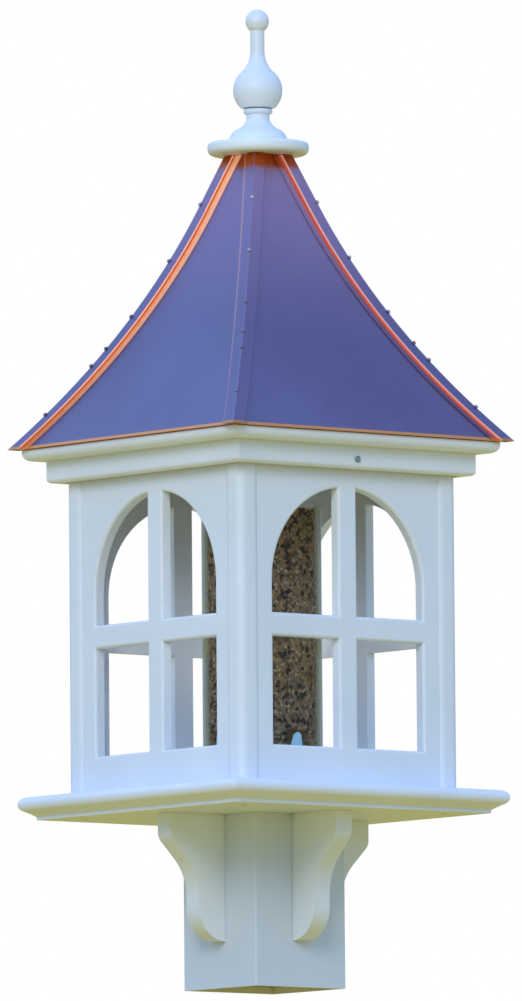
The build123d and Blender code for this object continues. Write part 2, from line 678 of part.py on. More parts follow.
turned("wall_panel", wall_panel(), SIDES)
save("seed_tube", seed_tube())
save("seed_cone", seed_cone())
save("cone_screw", cone_screw())
save("seed_fill", seed_fill())

plain_frieze = frieze_board(False)
held_frieze = frieze_board(True)
for side, angle in SIDES.items():
    save(f"frieze_{side}", Rot(0, 0, angle) * (held_frieze if side in ("front", "back") else plain_frieze))
turned("cornice", cornice_board(), SIDES)
save("frieze_screws", group(p * wood_screw(FRIEZE_SCREW_LENGTH) for p in frieze_screw_places()))
turned("retaining_screw", retaining_screw(), {"front": 0, "back": 180})

roof_outer = roof_volume(0)
roof_inner = roof_volume(-COPPER)
turned("roof_panel", copper_panel(roof_outer, roof_inner), SIDES)
turned("hip_cap", hip_cap(), CORNERS)
turned("hip_rafter", hip_rafter(), CORNERS)
save("apex_block", apex_block())
save("hip_nails", hip_nails())
save("finial_disc", finial_disc())
save("finial", finial())
save("finial_rod", finial_rod())
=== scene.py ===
import json
import math
import random

import bpy
from mathutils import Matrix, Vector, noise


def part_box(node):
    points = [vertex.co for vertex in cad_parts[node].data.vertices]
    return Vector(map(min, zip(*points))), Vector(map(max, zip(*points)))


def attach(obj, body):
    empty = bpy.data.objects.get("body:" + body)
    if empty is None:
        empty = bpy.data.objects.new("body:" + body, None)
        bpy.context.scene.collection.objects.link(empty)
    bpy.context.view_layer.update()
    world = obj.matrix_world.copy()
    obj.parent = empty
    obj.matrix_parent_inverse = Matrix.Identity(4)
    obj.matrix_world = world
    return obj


# Square gazebo bird feeder for a post. The CAD nodes keep their shapes and get their finishes
# here; seed grains and the guards inside the feeding ports are added as pieces. Metres, +Z up,
# -Y is the front.

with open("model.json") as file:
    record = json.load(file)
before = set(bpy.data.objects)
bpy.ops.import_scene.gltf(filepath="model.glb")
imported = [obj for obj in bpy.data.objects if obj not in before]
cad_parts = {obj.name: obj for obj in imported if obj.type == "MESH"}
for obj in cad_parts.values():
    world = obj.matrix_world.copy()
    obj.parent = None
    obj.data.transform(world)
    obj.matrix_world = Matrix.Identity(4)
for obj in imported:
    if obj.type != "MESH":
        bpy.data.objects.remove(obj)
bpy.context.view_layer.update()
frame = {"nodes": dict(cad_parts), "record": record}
nodes = frame["nodes"]

# ---- sizes, in metres ---------------------------------------------------------------------
MM = 0.001
FLOOR_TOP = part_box("floor_board")[1].z
EAVE_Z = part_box("roof_panel_front")[0].z
ROOF_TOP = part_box("roof_panel_front")[1].z
CAP_RAISED = 6.9 * MM              # the hip caps stand this far out from the panels, measured level
CAP_WIDTH = 8.4 * MM               # their turned-down edges are this far in from the hip
CAP_FOOT = 9.5 * MM                # and their feet lie this far out from the edges
ROOF_EAVE_HALF = 191.0 * MM
ROOF_CURVE_RADIUS = 897.0 * MM
ROOF_TOP_SLOPE = math.radians(19.86)
ROOF_EAVE_SLOPE = math.radians(39.34)
CURVE_X = ROOF_EAVE_HALF + ROOF_CURVE_RADIUS * math.cos(ROOF_EAVE_SLOPE)
CURVE_Z = EAVE_Z + ROOF_CURVE_RADIUS * math.sin(ROOF_EAVE_SLOPE)
STRAIGHT_Z = CURVE_Z - ROOF_CURVE_RADIUS * math.sin(ROOF_TOP_SLOPE)
STRAIGHT_X = CURVE_X - ROOF_CURVE_RADIUS * math.cos(ROOF_TOP_SLOPE)

# ---- camera: a long lens, a little below the feeder, at its front left corner ---------------
TARGET = Vector((0, 0, 0.5395))
CAMERA_AZIMUTH = math.radians(38.89)
CAMERA_RISE = math.radians(5.08)   # the camera looks up by this much
CAMERA_ROLL = math.radians(0.46)
CAMERA_DISTANCE = 17.2
LENS_MM = 561.8
FLOOR_Z = -1.25                    # the ground, this far below a feeder on its post
FLOOR_RADIUS = 20


# ---- colours ------------------------------------------------------------------------------
def srgb(red, green, blue):
    """A linear RGBA colour from 0-255 display values."""
    def linear(value):
        value /= 255
        return value / 12.92 if value <= 0.04045 else ((value + 0.055) / 1.055) ** 2.4
    return (linear(red), linear(green), linear(blue), 1.0)


# ---- node helpers -------------------------------------------------------------------------
class Nodes:
    """Builds one material's node tree with short calls."""

    def __init__(self, name):
        self.material = bpy.data.materials.new(name)
        self.material.use_nodes = True
        self.tree = self.material.node_tree
        self.shader = self.tree.nodes["Principled BSDF"]

    def add(self, kind, **settings):
        node = self.tree.nodes.new(kind)
        for key, value in settings.items():
            setattr(node, key, value)
        return node

    def link(self, source, target):
        self.tree.links.new(source, target)

    def put(self, value, socket):
        """Link a socket, or set a plain value."""
        if isinstance(value, bpy.types.NodeSocket):
            self.link(value, socket)
        else:
            socket.default_value = value

    def math(self, operation, first, second=None, clamp=False):
        node = self.add("ShaderNodeMath", operation=operation, use_clamp=clamp)
        self.put(first, node.inputs[0])
        if second is not None:
            self.put(second, node.inputs[1])
        return node.outputs[0]

    def position(self):
        """The point in the object's own coordinates, which are the CAD's."""
        return self.add("ShaderNodeTexCoord").outputs["Object"]

    def opposite(self, value):
        """1 where the value is 0, and 0 where it is 1."""
        return self.math("SUBTRACT", 1.0, value)

    def first_channel(self, colour):
        node = self.add("ShaderNodeSeparateColor")
        self.link(colour, node.inputs[0])
        return node.outputs[0]

    def axes(self):
        """X, Y and Z of the point, as three sockets."""
        node = self.add("ShaderNodeSeparateXYZ")
        self.link(self.position(), node.inputs[0])
        return node.outputs[0], node.outputs[1], node.outputs[2]

    def noise(self, scale, detail=4.0, stretch=None, roughness=0.5):
        """Noise between 0 and 1, with an optional stretch of its space."""
        where = self.position()
        if stretch:
            mapping = self.add("ShaderNodeMapping")
            mapping.inputs["Scale"].default_value = stretch
            self.link(where, mapping.inputs["Vector"])
            where = mapping.outputs[0]
        node = self.add("ShaderNodeTexNoise")
        node.inputs["Scale"].default_value = scale
        node.inputs["Detail"].default_value = detail
        node.inputs["Roughness"].default_value = roughness
        self.link(where, node.inputs["Vector"])
        return node.outputs["Fac"]

    def ramp(self, factor, *stops):
        """A colour ramp from (place, colour) stops."""
        node = self.add("ShaderNodeValToRGB")
        elements = node.color_ramp.elements
        while len(elements) < len(stops):
            elements.new(0.5)
        for element, (place, colour) in zip(elements, stops):
            element.position = place
            element.color = colour
        self.link(factor, node.inputs[0])
        return node.outputs[0]

    def step(self, value, start, end):
        """0 before start, 1 after end, smooth between."""
        node = self.add("ShaderNodeMapRange", interpolation_type="SMOOTHSTEP")
        self.put(value, node.inputs["Value"])
        node.inputs["From Min"].default_value = start
        node.inputs["From Max"].default_value = end
        return node.outputs["Result"]

    def mix(self, factor, first, second, blend="MIX"):
        """The first colour at 0 and the second at 1, or the two blended by that much."""
        node = self.add("ShaderNodeMix", data_type="RGBA", blend_type=blend)
        self.put(factor, node.inputs["Factor"])
        colours = [socket for socket in node.inputs if socket.type == "RGBA"]
        self.put(first, colours[0])
        self.put(second, colours[1])
        return [socket for socket in node.outputs if socket.type == "RGBA"][0]

    def nearness(self, distance, inside=False):
        """0 on an open face, and up to 1 deep in a crease, or on an arris if inside is set."""
        node = self.add("ShaderNodeAmbientOcclusion", inside=inside, samples=8)
        node.inputs["Distance"].default_value = distance
        return self.opposite(node.outputs["AO"])

    def bump(self, height, distance, strength=1.0):
        """Roughen the surface by a height, without moving it."""
        node = self.add("ShaderNodeBump")
        node.inputs["Distance"].default_value = distance
        node.inputs["Strength"].default_value = strength
        self.link(height, node.inputs["Height"])
        self.link(node.outputs[0], self.shader.inputs["Normal"])

    def finish(self, colour, roughness, metallic=0.0, **others):
        """Set the shader, with spaces as underscores in the other inputs' names."""
        self.put(colour, self.shader.inputs["Base Color"])
        self.put(roughness, self.shader.inputs["Roughness"])
        self.put(metallic, self.shader.inputs["Metallic"])
        for key, value in others.items():
            self.put(value, self.shader.inputs[key.replace("_", " ")])
        return self.material


# ---- materials ----------------------------------------------------------------------------
BOARD_TONE = (0.88, 0.915, 0.96)
# the sleeve: the boards' white made darker and bluer, painted shade under the base
SLEEVE_SHADED_TONE = (0.72, 0.78, 0.86)
# the disc: the boards' white made lighter and bluer, painted light as cool as the sky
DISC_LIT_TONE = (0.94, 0.98, 1.0)
# painted shade: the colour that the creases and joints of the white PVC darken towards
CREASE_SHADE = srgb(120, 128, 126)
WHITE = (1.0, 1.0, 1.0, 1.0)


def white_pvc(name, tone):
    """Satin PVC: faint clouding, the fine skin of a planed board, painted shade in the creases, painted
    highlight on the arrises.
    """
    m = Nodes(name)
    light = (*tone, 1.0)
    dark = (*[value * 0.955 for value in tone], 1.0)
    cloud = m.ramp(m.noise(9.0, 5.0), (0.35, dark), (0.65, light))
    fine = m.noise(900.0, 2.0)
    colour = m.mix(m.step(fine, 0.62, 0.8), cloud, dark)
    # painted shade: darker in the creases and in the joints between parts
    crease = m.step(m.nearness(7 * MM), 0.25, 0.85)
    colour = m.mix(m.math("MULTIPLY", crease, 0.50), colour, CREASE_SHADE)
    # painted highlight: lighter, towards white, along the arrises
    arris = m.step(m.nearness(4 * MM, inside=True), 0.45, 0.75)
    colour = m.mix(m.math("MULTIPLY", arris, 0.35), colour, WHITE)
    m.bump(m.noise(260.0, 6.0), 0.00025, 0.35)
    polish = m.step(m.noise(40.0, 3.0), -1.2, 2.2)
    rough = m.math("ADD", m.math("MULTIPLY", polish, 0.25), 0.30)
    return m.finish(colour, rough, Coat_Weight=0.12, Coat_Roughness=0.25)


def roof_places(m):
    """Where a point of the roof is.

    How far in from the hip, how far out from the panel, 1 on the front and back panels, and how
    far from the ridge of the hip.
    """
    x, y, z = m.axes()
    across = m.math("ABSOLUTE", x)
    along = m.math("ABSOLUTE", y)
    rise = m.math("SUBTRACT", CURVE_Z, z)
    square = m.math("SUBTRACT", ROOF_CURVE_RADIUS ** 2, m.math("POWER", rise, 2.0))
    curved = m.math("SUBTRACT", CURVE_X, m.math("SQRT", square))
    drop = m.math("MULTIPLY", m.math("SUBTRACT", z, STRAIGHT_Z), math.tan(ROOF_TOP_SLOPE))
    straight = m.math("SUBTRACT", STRAIGHT_X, drop)
    high = m.math("GREATER_THAN", z, STRAIGHT_Z)
    half = m.math("ADD", m.math("MULTIPLY", straight, high), m.math("MULTIPLY", curved, m.opposite(high)))
    inward = m.math("SUBTRACT", half, m.math("MINIMUM", across, along))
    standoff = m.math("SUBTRACT", m.math("MAXIMUM", across, along), half)
    facing_y = m.math("GREATER_THAN", along, across)
    from_ridge = m.math("ABSOLUTE", m.math("SUBTRACT", across, along))
    return inward, standoff, facing_y, from_ridge


# the copper's colours: painted sky reflection in blue and violet on the sheet, painted reflection and
# highlight on the hip caps, painted shade in orange under the disc
BLUE_LIGHT = srgb(102, 100, 141)
BLUE_DEEP = srgb(94, 87, 127)
VIOLET_HIGH = srgb(160, 136, 174)
DISC_SHADE_ORANGE = srgb(196, 84, 22)
COPPER_ORANGE = srgb(182, 102, 46)
COPPER_PEACH = srgb(255, 194, 158)
COPPER_PINK = srgb(248, 198, 188)
COPPER_RED = srgb(206, 100, 82)
COPPER_DARK = srgb(146, 72, 66)
HEM_ORANGE = srgb(196, 132, 72)
RIDGE_VIOLET = srgb(158, 132, 176)
STREAK_VIOLET = srgb(112, 104, 152)
FRONT_BACK_REFLECTION_TINT = (1.32, 1.14, 1.02, 1.0)
HEM_HEIGHT = 2.6 * MM
PALE_FROM = EAVE_Z + 0.09          # the painted sky reflection on the sheet turns paler from here up
COLLAR_LOW = ROOF_TOP - 0.019      # and painted shade of the disc, in orange, between these
COLLAR_HIGH = ROOF_TOP - 0.011


def copper_sheet(m):
    """The sheet's colour and the height: painted sky reflection in blue-violet, paler above, streaked,
    warmer on the front and back panels, with the disc's painted shade in orange under it.
    """
    x, y, z = m.axes()
    cloud = m.noise(5.5, 3.0, stretch=(1.0, 1.0, 0.55))
    sheet = m.ramp(cloud, (0.32, BLUE_DEEP), (0.68, BLUE_LIGHT))
    high = m.step(z, PALE_FROM, ROOF_TOP)
    sheet = m.mix(m.math("MULTIPLY", high, 0.75), sheet, VIOLET_HIGH)
    streak = m.step(m.noise(70.0, 2.0, stretch=(1.0, 1.0, 0.04)), 0.45, 0.75)
    sheet = m.mix(m.math("MULTIPLY", streak, 0.16), sheet, STREAK_VIOLET)
    # painted reflection: the front and back panels lighter and warmer than the sides
    front_or_back = m.math("GREATER_THAN", m.math("ABSOLUTE", y), m.math("ABSOLUTE", x))
    sheet = m.mix(front_or_back, sheet, FRONT_BACK_REFLECTION_TINT, blend="MULTIPLY")
    # painted shade of the disc: orange in a wavy band just under it
    wave = m.math("MULTIPLY", m.math("SUBTRACT", m.noise(30.0, 2.0), 0.5), 0.012)
    top = m.step(m.math("ADD", z, wave), COLLAR_LOW, COLLAR_HIGH)
    return m.mix(top, sheet, DISC_SHADE_ORANGE), z


def hem_mask(m, z):
    """1 on the rolled hem along the eave, 0 above it."""
    return m.opposite(m.step(z, EAVE_Z + HEM_HEIGHT, EAVE_Z + HEM_HEIGHT + 1.2 * MM))


def roof_copper():
    """The panels: the sheet, with a rolled hem in copper orange that glows, painted light."""
    m = Nodes("roof_copper")
    sheet, z = copper_sheet(m)
    hem = hem_mask(m, z)
    colour = m.mix(hem, sheet, HEM_ORANGE)
    m.bump(m.noise(14.0, 2.0), 0.0012, 0.35)
    # painted light: the hem glows in its orange
    glow = m.math("MULTIPLY", hem, 0.22)
    return m.finish(colour, 0.36, 0.5, Emission_Color=HEM_ORANGE, Emission_Strength=glow)


def hip_copper():
    """The folded cap: painted sky reflection in blue on top, and painted reflection in orange, red and
    peach with a painted highlight in pink at the rim, on its turned-down edge and along its foot, where it
    also glows.
    """
    m = Nodes("hip_copper")
    sheet, z = copper_sheet(m)
    inward, standoff, facing_y, from_ridge = roof_places(m)
    height = m.math("DIVIDE", standoff, CAP_RAISED, clamp=True)
    # painted reflection on the turned-down edges and feet, with a painted highlight in pink at the rim:
    # peach and orange beside the left and right panels, dark red and red beside the front and back ones
    edge_x = m.ramp(height, (0.0, COPPER_PEACH), (0.18, COPPER_PEACH), (0.24, COPPER_ORANGE),
                    (0.62, COPPER_ORANGE), (0.72, COPPER_PINK), (0.97, COPPER_PINK))
    edge_y = m.ramp(height, (0.0, COPPER_DARK), (0.14, COPPER_DARK), (0.22, COPPER_RED),
                    (0.46, COPPER_RED), (0.60, COPPER_PINK), (0.97, COPPER_PINK))
    strip = m.mix(facing_y, edge_x, edge_y)

    # where the painted reflection shows: from the turned-down edge to the end of the foot
    past_edge = m.step(inward, CAP_WIDTH - 0.25 * MM, CAP_WIDTH - 0.05 * MM)
    past_foot = m.step(inward, CAP_WIDTH + CAP_FOOT - 1.0 * MM, CAP_WIDTH + CAP_FOOT + 1.0 * MM)
    bright = m.math("MULTIPLY", past_edge, m.opposite(past_foot))
    x, y, _ = m.axes()
    # painted reflection: dimmer strips on the front left hip
    front_left_hip = m.math("MULTIPLY", m.math("LESS_THAN", x, 0.0), m.math("LESS_THAN", y, 0.0))
    bright = m.math("MULTIPLY", bright, m.opposite(m.math("MULTIPLY", front_left_hip, 0.8)))
    # painted reflection: the feet beside the front and back panels stay blue past their first few
    # millimetres
    on_foot = m.step(inward, CAP_WIDTH + 1.6 * MM, CAP_WIDTH + 3.2 * MM)
    blue_foot = m.math("MULTIPLY", facing_y, on_foot)
    bright = m.math("MULTIPLY", bright, m.opposite(blue_foot))

    colour = m.mix(bright, sheet, strip)
    # painted highlight: a thin pale violet line along the ridge
    ridge = m.opposite(m.step(from_ridge, 0.6 * MM, 2.0 * MM))
    colour = m.mix(m.math("MULTIPLY", ridge, 0.35), colour, RIDGE_VIOLET)
    colour = m.mix(hem_mask(m, z), colour, HEM_ORANGE)
    m.bump(m.noise(14.0, 2.0), 0.0012, 0.35)
    # painted light: the strips glow in their own colours
    glow = m.math("MULTIPLY", bright, 0.34)
    return m.finish(colour, 0.36, 0.45, Emission_Color=strip, Emission_Strength=glow)


def solder():
    """Nail heads: painted reflection and highlight, near white near the top and the roof's violet lower
    down.
    """
    m = Nodes("solder")
    z = m.axes()[2]
    tone = m.mix(m.step(z, EAVE_Z + 0.15, EAVE_Z + 0.26), srgb(122, 104, 138), srgb(236, 232, 244))
    colour = m.mix(m.noise(900.0, 3.0), tone, srgb(150, 134, 160))
    return m.finish(colour, 0.3, 0.5)


def steel(name, dark, light):
    """Plain steel, with fine clouding between two tones."""
    m = Nodes(name)
    colour = m.ramp(m.noise(500.0, 4.0), (0.3, dark), (0.7, light))
    m.bump(m.noise(900.0, 3.0), 0.0001, 0.3)
    return m.finish(colour, 0.32, 1.0)


def framing_wood():
    """Planed softwood: grain lines along Z with slow colour changes."""
    m = Nodes("framing_wood")
    grain = m.noise(60.0, 8.0, stretch=(1.0, 1.0, 0.06), roughness=0.65)
    colour = m.ramp(grain, (0.30, srgb(140, 98, 58)), (0.52, srgb(192, 150, 100)),
                    (0.75, srgb(214, 178, 128)))
    m.bump(grain, 0.0004, 0.4)
    return m.finish(colour, 0.62)


def clear_acrylic():
    """Thin clear wall: mostly seen through, olive and then pale green where it is seen edge on, with a
    faint glow, painted light.
    """
    m = Nodes("clear_acrylic")
    weight = m.add("ShaderNodeLayerWeight")
    weight.inputs["Blend"].default_value = 0.5
    facing = weight.outputs["Facing"]
    tint = m.ramp(facing, (0.50, srgb(138, 118, 30)), (0.64, srgb(140, 128, 46)),
                  (0.74, srgb(140, 142, 92)), (0.90, srgb(158, 176, 156)))
    colour = m.mix(m.math("MULTIPLY", m.noise(120.0, 2.0), 0.2), tint, srgb(150, 165, 150))
    edge_on = m.step(facing, 0.56, 0.74)
    alpha = m.math("ADD", m.math("MULTIPLY", edge_on, 0.72), 0.03)
    return m.finish(colour, 0.12, 0.0, Alpha=alpha, Specular_IOR_Level=0.2, Emission_Color=colour,
                    Emission_Strength=0.12)


def cone_plastic():
    """Pale blue plastic with a faint glow, for the light that shines through it."""
    m = Nodes("cone_plastic")
    colour = m.ramp(m.noise(60.0, 3.0), (0.3, srgb(120, 170, 206)), (0.7, srgb(160, 206, 222)))
    m.bump(m.noise(300.0, 3.0), 0.0002, 0.3)
    return m.finish(colour, 0.35, 0.0, Emission_Color=colour, Emission_Strength=0.32)


GRAIN_COLOURS = {
    "grain_tan": (srgb(160, 134, 102), srgb(190, 164, 128)),
    "grain_buff": (srgb(182, 162, 132), srgb(212, 194, 164)),
    "grain_brown": (srgb(122, 94, 72), srgb(152, 122, 94)),
    "grain_ochre": (srgb(170, 118, 42), srgb(196, 150, 70)),
    "grain_black": (srgb(22, 20, 26), srgb(48, 44, 52)),
}
SEED_GLOW = 0.05                   # stands for light that bounces about inside the clear tube


def grain(name, dark, light):
    """A seed husk: fine stripes along the grain and a slight sheen."""
    m = Nodes(name)
    colour = m.ramp(m.noise(1400.0, 3.0), (0.35, dark), (0.65, light))
    m.bump(m.noise(2500.0, 2.0), 0.0001, 0.4)
    return m.finish(colour, 0.5, 0.0, Emission_Color=colour, Emission_Strength=SEED_GLOW)


def seed_mass():
    """What shows between the grains: the same colours in small cells, darker, with painted shade at the
    cell edges between the seeds.
    """
    m = Nodes("seed_mass")
    cells = m.add("ShaderNodeTexVoronoi")
    cells.inputs["Scale"].default_value = 230.0
    m.link(m.position(), cells.inputs["Vector"])
    value = m.math("FRACT", m.math("MULTIPLY", m.first_channel(cells.outputs["Color"]), 3.7))
    colour = m.ramp(value, (0.0, srgb(66, 54, 50)), (0.25, srgb(120, 100, 78)), (0.5, srgb(154, 132, 104)),
                    (0.75, srgb(134, 116, 94)), (1.0, srgb(146, 112, 64)))
    # painted shade: darker at the cell edges, between the seeds
    colour = m.mix(m.step(cells.outputs["Distance"], 0.50, 0.95), colour, srgb(92, 76, 62))
    m.bump(cells.outputs["Distance"], 0.0012, 0.8)
    return m.finish(colour, 0.7, 0.0, Emission_Color=colour, Emission_Strength=SEED_GLOW)


def paint(material, *names):
    """Give CAD nodes a material in all their slots."""
    for name in names:
        mesh = nodes[name].data
        mesh.materials.clear()
        mesh.materials.append(material)


# ---- put the materials on -----------------------------------------------------------------
slot_of = {part["node"]: part["material_slot"] for part in frame["record"]["subparts"]}
finishes = {
    "white_pvc": white_pvc("white_pvc", BOARD_TONE),
    "roof_copper": roof_copper(),
    "solder": solder(),
    "framing_wood": framing_wood(),
    "steel": steel("steel", srgb(84, 86, 90), srgb(158, 162, 168)),
    "clear_acrylic": clear_acrylic(),
    "cone_plastic": cone_plastic(),
    "bird_seed": seed_mass(),
}
hip_finish = hip_copper()
for node_name, slot_name in slot_of.items():
    paint(hip_finish if node_name.startswith("hip_cap") else finishes[slot_name], node_name)
# the sleeve in painted shade: a darker, bluer copy of the white PVC
paint(white_pvc("sleeve_pvc", SLEEVE_SHADED_TONE), "post_sleeve")
# the disc in painted light: a lighter, bluer copy of the white PVC
paint(white_pvc("disc_pvc", DISC_LIT_TONE), "finial_disc")
# painted light: the screw heads in a lighter copy of the steel
lit_screw = steel("lit_screw_steel", srgb(112, 122, 122), srgb(206, 212, 210))
paint(lit_screw, "retaining_screw_front", "retaining_screw_back")


# ---- seed grains --------------------------------------------------------------------------
GRAIN_COUNT = 7500
TOP_SHARE = 0.16                   # this share of them lies on top of the seed, the rest at its side
GRAIN_LONG = 1.9 * MM              # half a grain's length, width and thickness
GRAIN_WIDE = 1.15 * MM
GRAIN_THICK = 0.9 * MM
GRAIN_SIZES = (0.75, 1.2)
GRAIN_LEAN = 0.3                   # how far a loose grain on the top can lean
HUSK_REACH = 0.62                  # past this share of its half length a husk runs to a point
BLACK_KIND = list(GRAIN_COLOURS).index("grain_black")
BLACK_SIZE = 1.45
PRESSED_THICK = 0.14 * MM          # against the tube only a grain's outer skin shows
PRESSED_OUT = 0.08 * MM            # and it stands this far out from the mass,
BLACK_OUT = 0.155 * MM             # or this far if it is a big black one, which lies over the others
LIGHT_SHARES = (0.40, 0.26, 0.24, 0.10, 0.0)
HIGH_SHARES = (0.26, 0.12, 0.24, 0.38, 0.0)
DARK_SHARES = (0.05, 0.02, 0.05, 0.02, 0.86)
CLUSTER = 9.0 * MM                 # about how far apart the dark patches of seed are
DARK_OVER = 0.13                   # the noise above which a patch is dark, anywhere,
RIM_DARK_OVER = -0.35              # near the top
PORT_DARK_OVER = -0.1              # and round the ports
RIM_DEEP = 7 * MM                  # the dark rim goes this far down
HIGH_DEEP = 55 * MM                # and the ochre upper part this far
POCKET_TOP = FLOOR_TOP + 48 * MM   # the pockets in the seed behind the ports
POCKET_HALF = 16 * MM
seed_low, seed_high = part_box("seed_fill")
SEED_RADIUS = seed_high.x


def grain_points(segments=5, rings=3):
    """A pointed husk along X, as points and faces."""
    points = [(-1.0, 0.0, 0.0)]
    for ring in range(rings):
        place = -HUSK_REACH + 2 * HUSK_REACH * ring / (rings - 1)
        width = math.cos(place * 1.15)
        for segment in range(segments):
            angle = 2 * math.pi * segment / segments
            points.append((place, width * math.cos(angle), 0.8 * width * math.sin(angle)))
    points.append((1.0, 0.0, 0.0))
    last = len(points) - 1
    faces = []
    for segment in range(segments):
        after = (segment + 1) % segments
        faces.append((0, 1 + after, 1 + segment))
        for ring in range(rings - 1):
            row = 1 + ring * segments
            faces.append((row + segment, row + after, row + segments + after, row + segments + segment))
        row = 1 + (rings - 1) * segments
        faces.append((row + segment, row + after, last))
    return points, faces


def top_place(chance, angle):
    """The centre and the outward direction of a loose grain on top of the seed."""
    radius = (SEED_RADIUS - 4 * MM) * math.sqrt(chance.random())
    centre = Vector((radius * math.cos(angle), radius * math.sin(angle), seed_high.z + 0.1 * MM))
    lean = [chance.uniform(-GRAIN_LEAN, GRAIN_LEAN) for _ in range(2)]
    return centre, Vector((*lean, 1)).normalized()


def side_place(chance, angle):
    """The same for a grain against the tube."""
    outward = Vector((math.cos(angle), math.sin(angle), 0))
    centre = outward * SEED_RADIUS
    centre.z = chance.uniform(seed_low.z + 1.5 * MM, seed_high.z)
    return centre, outward


def near_pocket(centre, outward, above, beside):
    """Whether a grain is within these margins of a pocket's top and sides."""
    from_middle = min(abs(outward.x), abs(outward.y)) * SEED_RADIUS
    return centre.z < POCKET_TOP + above and from_middle < POCKET_HALF + beside


def kind_shares(centre, outward):
    """How likely each kind of grain is at this place."""
    patch = noise.noise(centre / CLUSTER)
    at_rim = centre.z > seed_high.z - RIM_DEEP
    at_port = near_pocket(centre, outward, 12 * MM, 8 * MM)
    if patch > DARK_OVER or (at_rim and patch > RIM_DARK_OVER) or (at_port and patch > PORT_DARK_OVER):
        return DARK_SHARES
    if centre.z > seed_high.z - HIGH_DEEP:
        return HIGH_SHARES
    return LIGHT_SHARES


def grain_axes(chance, outward, size, thick):
    """A grain's half sizes along its own axes, turned at random about the outward direction."""
    turn = Matrix.Rotation(chance.uniform(0, math.pi), 3, outward)
    side = turn @ outward.orthogonal().normalized()
    other = outward.cross(side)
    return Matrix((side * GRAIN_LONG * size, other * GRAIN_WIDE * size, outward * thick)).transposed()


def seed_grains():
    """Loose grains over the outside and the top of the seed column, as one mesh."""
    chance = random.Random(7)
    points, faces = grain_points()
    vertices, polygons, kinds = [], [], []
    for index in range(GRAIN_COUNT):
        angle = chance.uniform(0, 2 * math.pi)
        size = chance.uniform(*GRAIN_SIZES)
        on_top = index < GRAIN_COUNT * TOP_SHARE
        place = top_place if on_top else side_place
        centre, outward = place(chance, angle)
        if near_pocket(centre, outward, 0.5 * MM, 0.5 * MM):
            continue
        kind = chance.choices(range(len(GRAIN_COLOURS)), kind_shares(centre, outward))[0]
        if kind == BLACK_KIND:
            size *= BLACK_SIZE
        thick = GRAIN_THICK * size
        if not on_top:
            thick = PRESSED_THICK
            centre += outward * (BLACK_OUT if kind == BLACK_KIND else PRESSED_OUT)
        axes = grain_axes(chance, outward, size, thick)
        start = len(vertices)
        vertices += [centre + axes @ Vector(point) for point in points]
        polygons += [tuple(start + corner for corner in face) for face in faces]
        kinds += [kind] * len(faces)
    mesh = bpy.data.meshes.new("seed_grains")
    mesh.from_pydata(vertices, [], polygons)
    for name, (dark, light) in GRAIN_COLOURS.items():
        mesh.materials.append(grain(name, dark, light))
    mesh.polygons.foreach_set("material_index", kinds)
    mesh.polygons.foreach_set("use_smooth", [True] * len(polygons))
    piece = bpy.data.objects.new("seed_grains", mesh)
    bpy.context.scene.collection.objects.link(piece)
    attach(piece, "seed_tube")


seed_grains()


# ---- port baffles -------------------------------------------------------------------------
BAFFLE_RADIUS = 61.3 * MM          # at the top; they lean in towards the foot by this slope
BAFFLE_LEAN = 0.10
BAFFLE_THICK = 1.2 * MM
BAFFLE_LOW = 14 * MM               # their foot and the start of their arch, above the floor
BAFFLE_SPRING = 39.5 * MM
BAFFLE_HALF_LOW = 12.0 * MM
BAFFLE_HALF_HIGH = 5.8 * MM
BAFFLE_HALF_TIP = 0.8 * MM         # the flat at the tip of the arch


def baffle_half(height):
    """Half the width of a baffle: tapered, with an arched top."""
    if height <= BAFFLE_SPRING:
        share = (height - BAFFLE_LOW) / (BAFFLE_SPRING - BAFFLE_LOW)
        return BAFFLE_HALF_LOW + share * (BAFFLE_HALF_HIGH - BAFFLE_HALF_LOW)
    return math.sqrt(max(BAFFLE_HALF_HIGH ** 2 - (height - BAFFLE_SPRING) ** 2, BAFFLE_HALF_TIP ** 2))


def port_baffles(rows=14, columns=9):
    """Curved guards just inside the feeding ports, open below for the seed."""
    top = BAFFLE_SPRING + BAFFLE_HALF_HIGH
    vertices, polygons = [], []
    for quarter in range(4):
        turn = Matrix.Rotation(quarter * math.pi / 2, 3, "Z")
        start = len(vertices)
        for inset in (0.0, BAFFLE_THICK):
            for row in range(rows):
                height = BAFFLE_LOW + (top - BAFFLE_LOW) * row / (rows - 1)
                radius = BAFFLE_RADIUS - BAFFLE_LEAN * (top - height) - inset
                for column in range(columns):
                    across = baffle_half(height) * (2 * column / (columns - 1) - 1)
                    deep = -math.sqrt(radius ** 2 - across ** 2)
                    vertices.append(turn @ Vector((across, deep, FLOOR_TOP + height)))
        back = start + rows * columns
        for row in range(rows - 1):
            for column in range(columns - 1):
                at = row * columns + column
                ring = (at, at + 1, at + columns + 1, at + columns)
                polygons.append(tuple(start + corner for corner in ring))
                polygons.append(tuple(back + corner for corner in reversed(ring)))
        rim = list(range(columns))
        rim += [row * columns + columns - 1 for row in range(1, rows)]
        rim += [(rows - 1) * columns + column for column in range(columns - 2, -1, -1)]
        rim += [row * columns for row in range(rows - 2, 0, -1)]
        for place, corner in enumerate(rim):
            after = rim[(place + 1) % len(rim)]
            polygons.append((start + after, start + corner, back + corner, back + after))
    mesh = bpy.data.meshes.new("port_baffles")
    mesh.from_pydata(vertices, [], polygons)
    mesh.materials.append(finishes["cone_plastic"])
    piece = bpy.data.objects.new("port_baffles", mesh)
    bpy.context.scene.collection.objects.link(piece)
    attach(piece, "seed_tube")


port_baffles()


# ---- light, floor and camera --------------------------------------------------------------
WORLD_STOPS = (                    # from straight down at 0 to straight up at 1
    (0.44, (0.44, 0.42, 0.13, 1.0)),   # ground
    (0.52, (0.25, 0.42, 0.78, 1.0)),   # horizon
    (0.75, (0.33, 0.56, 1.06, 1.0)),   # sky
    (1.00, (0.36, 0.60, 1.12, 1.0)),   # zenith
)
DAYLIGHT = (0.94, 0.98, 1.0)


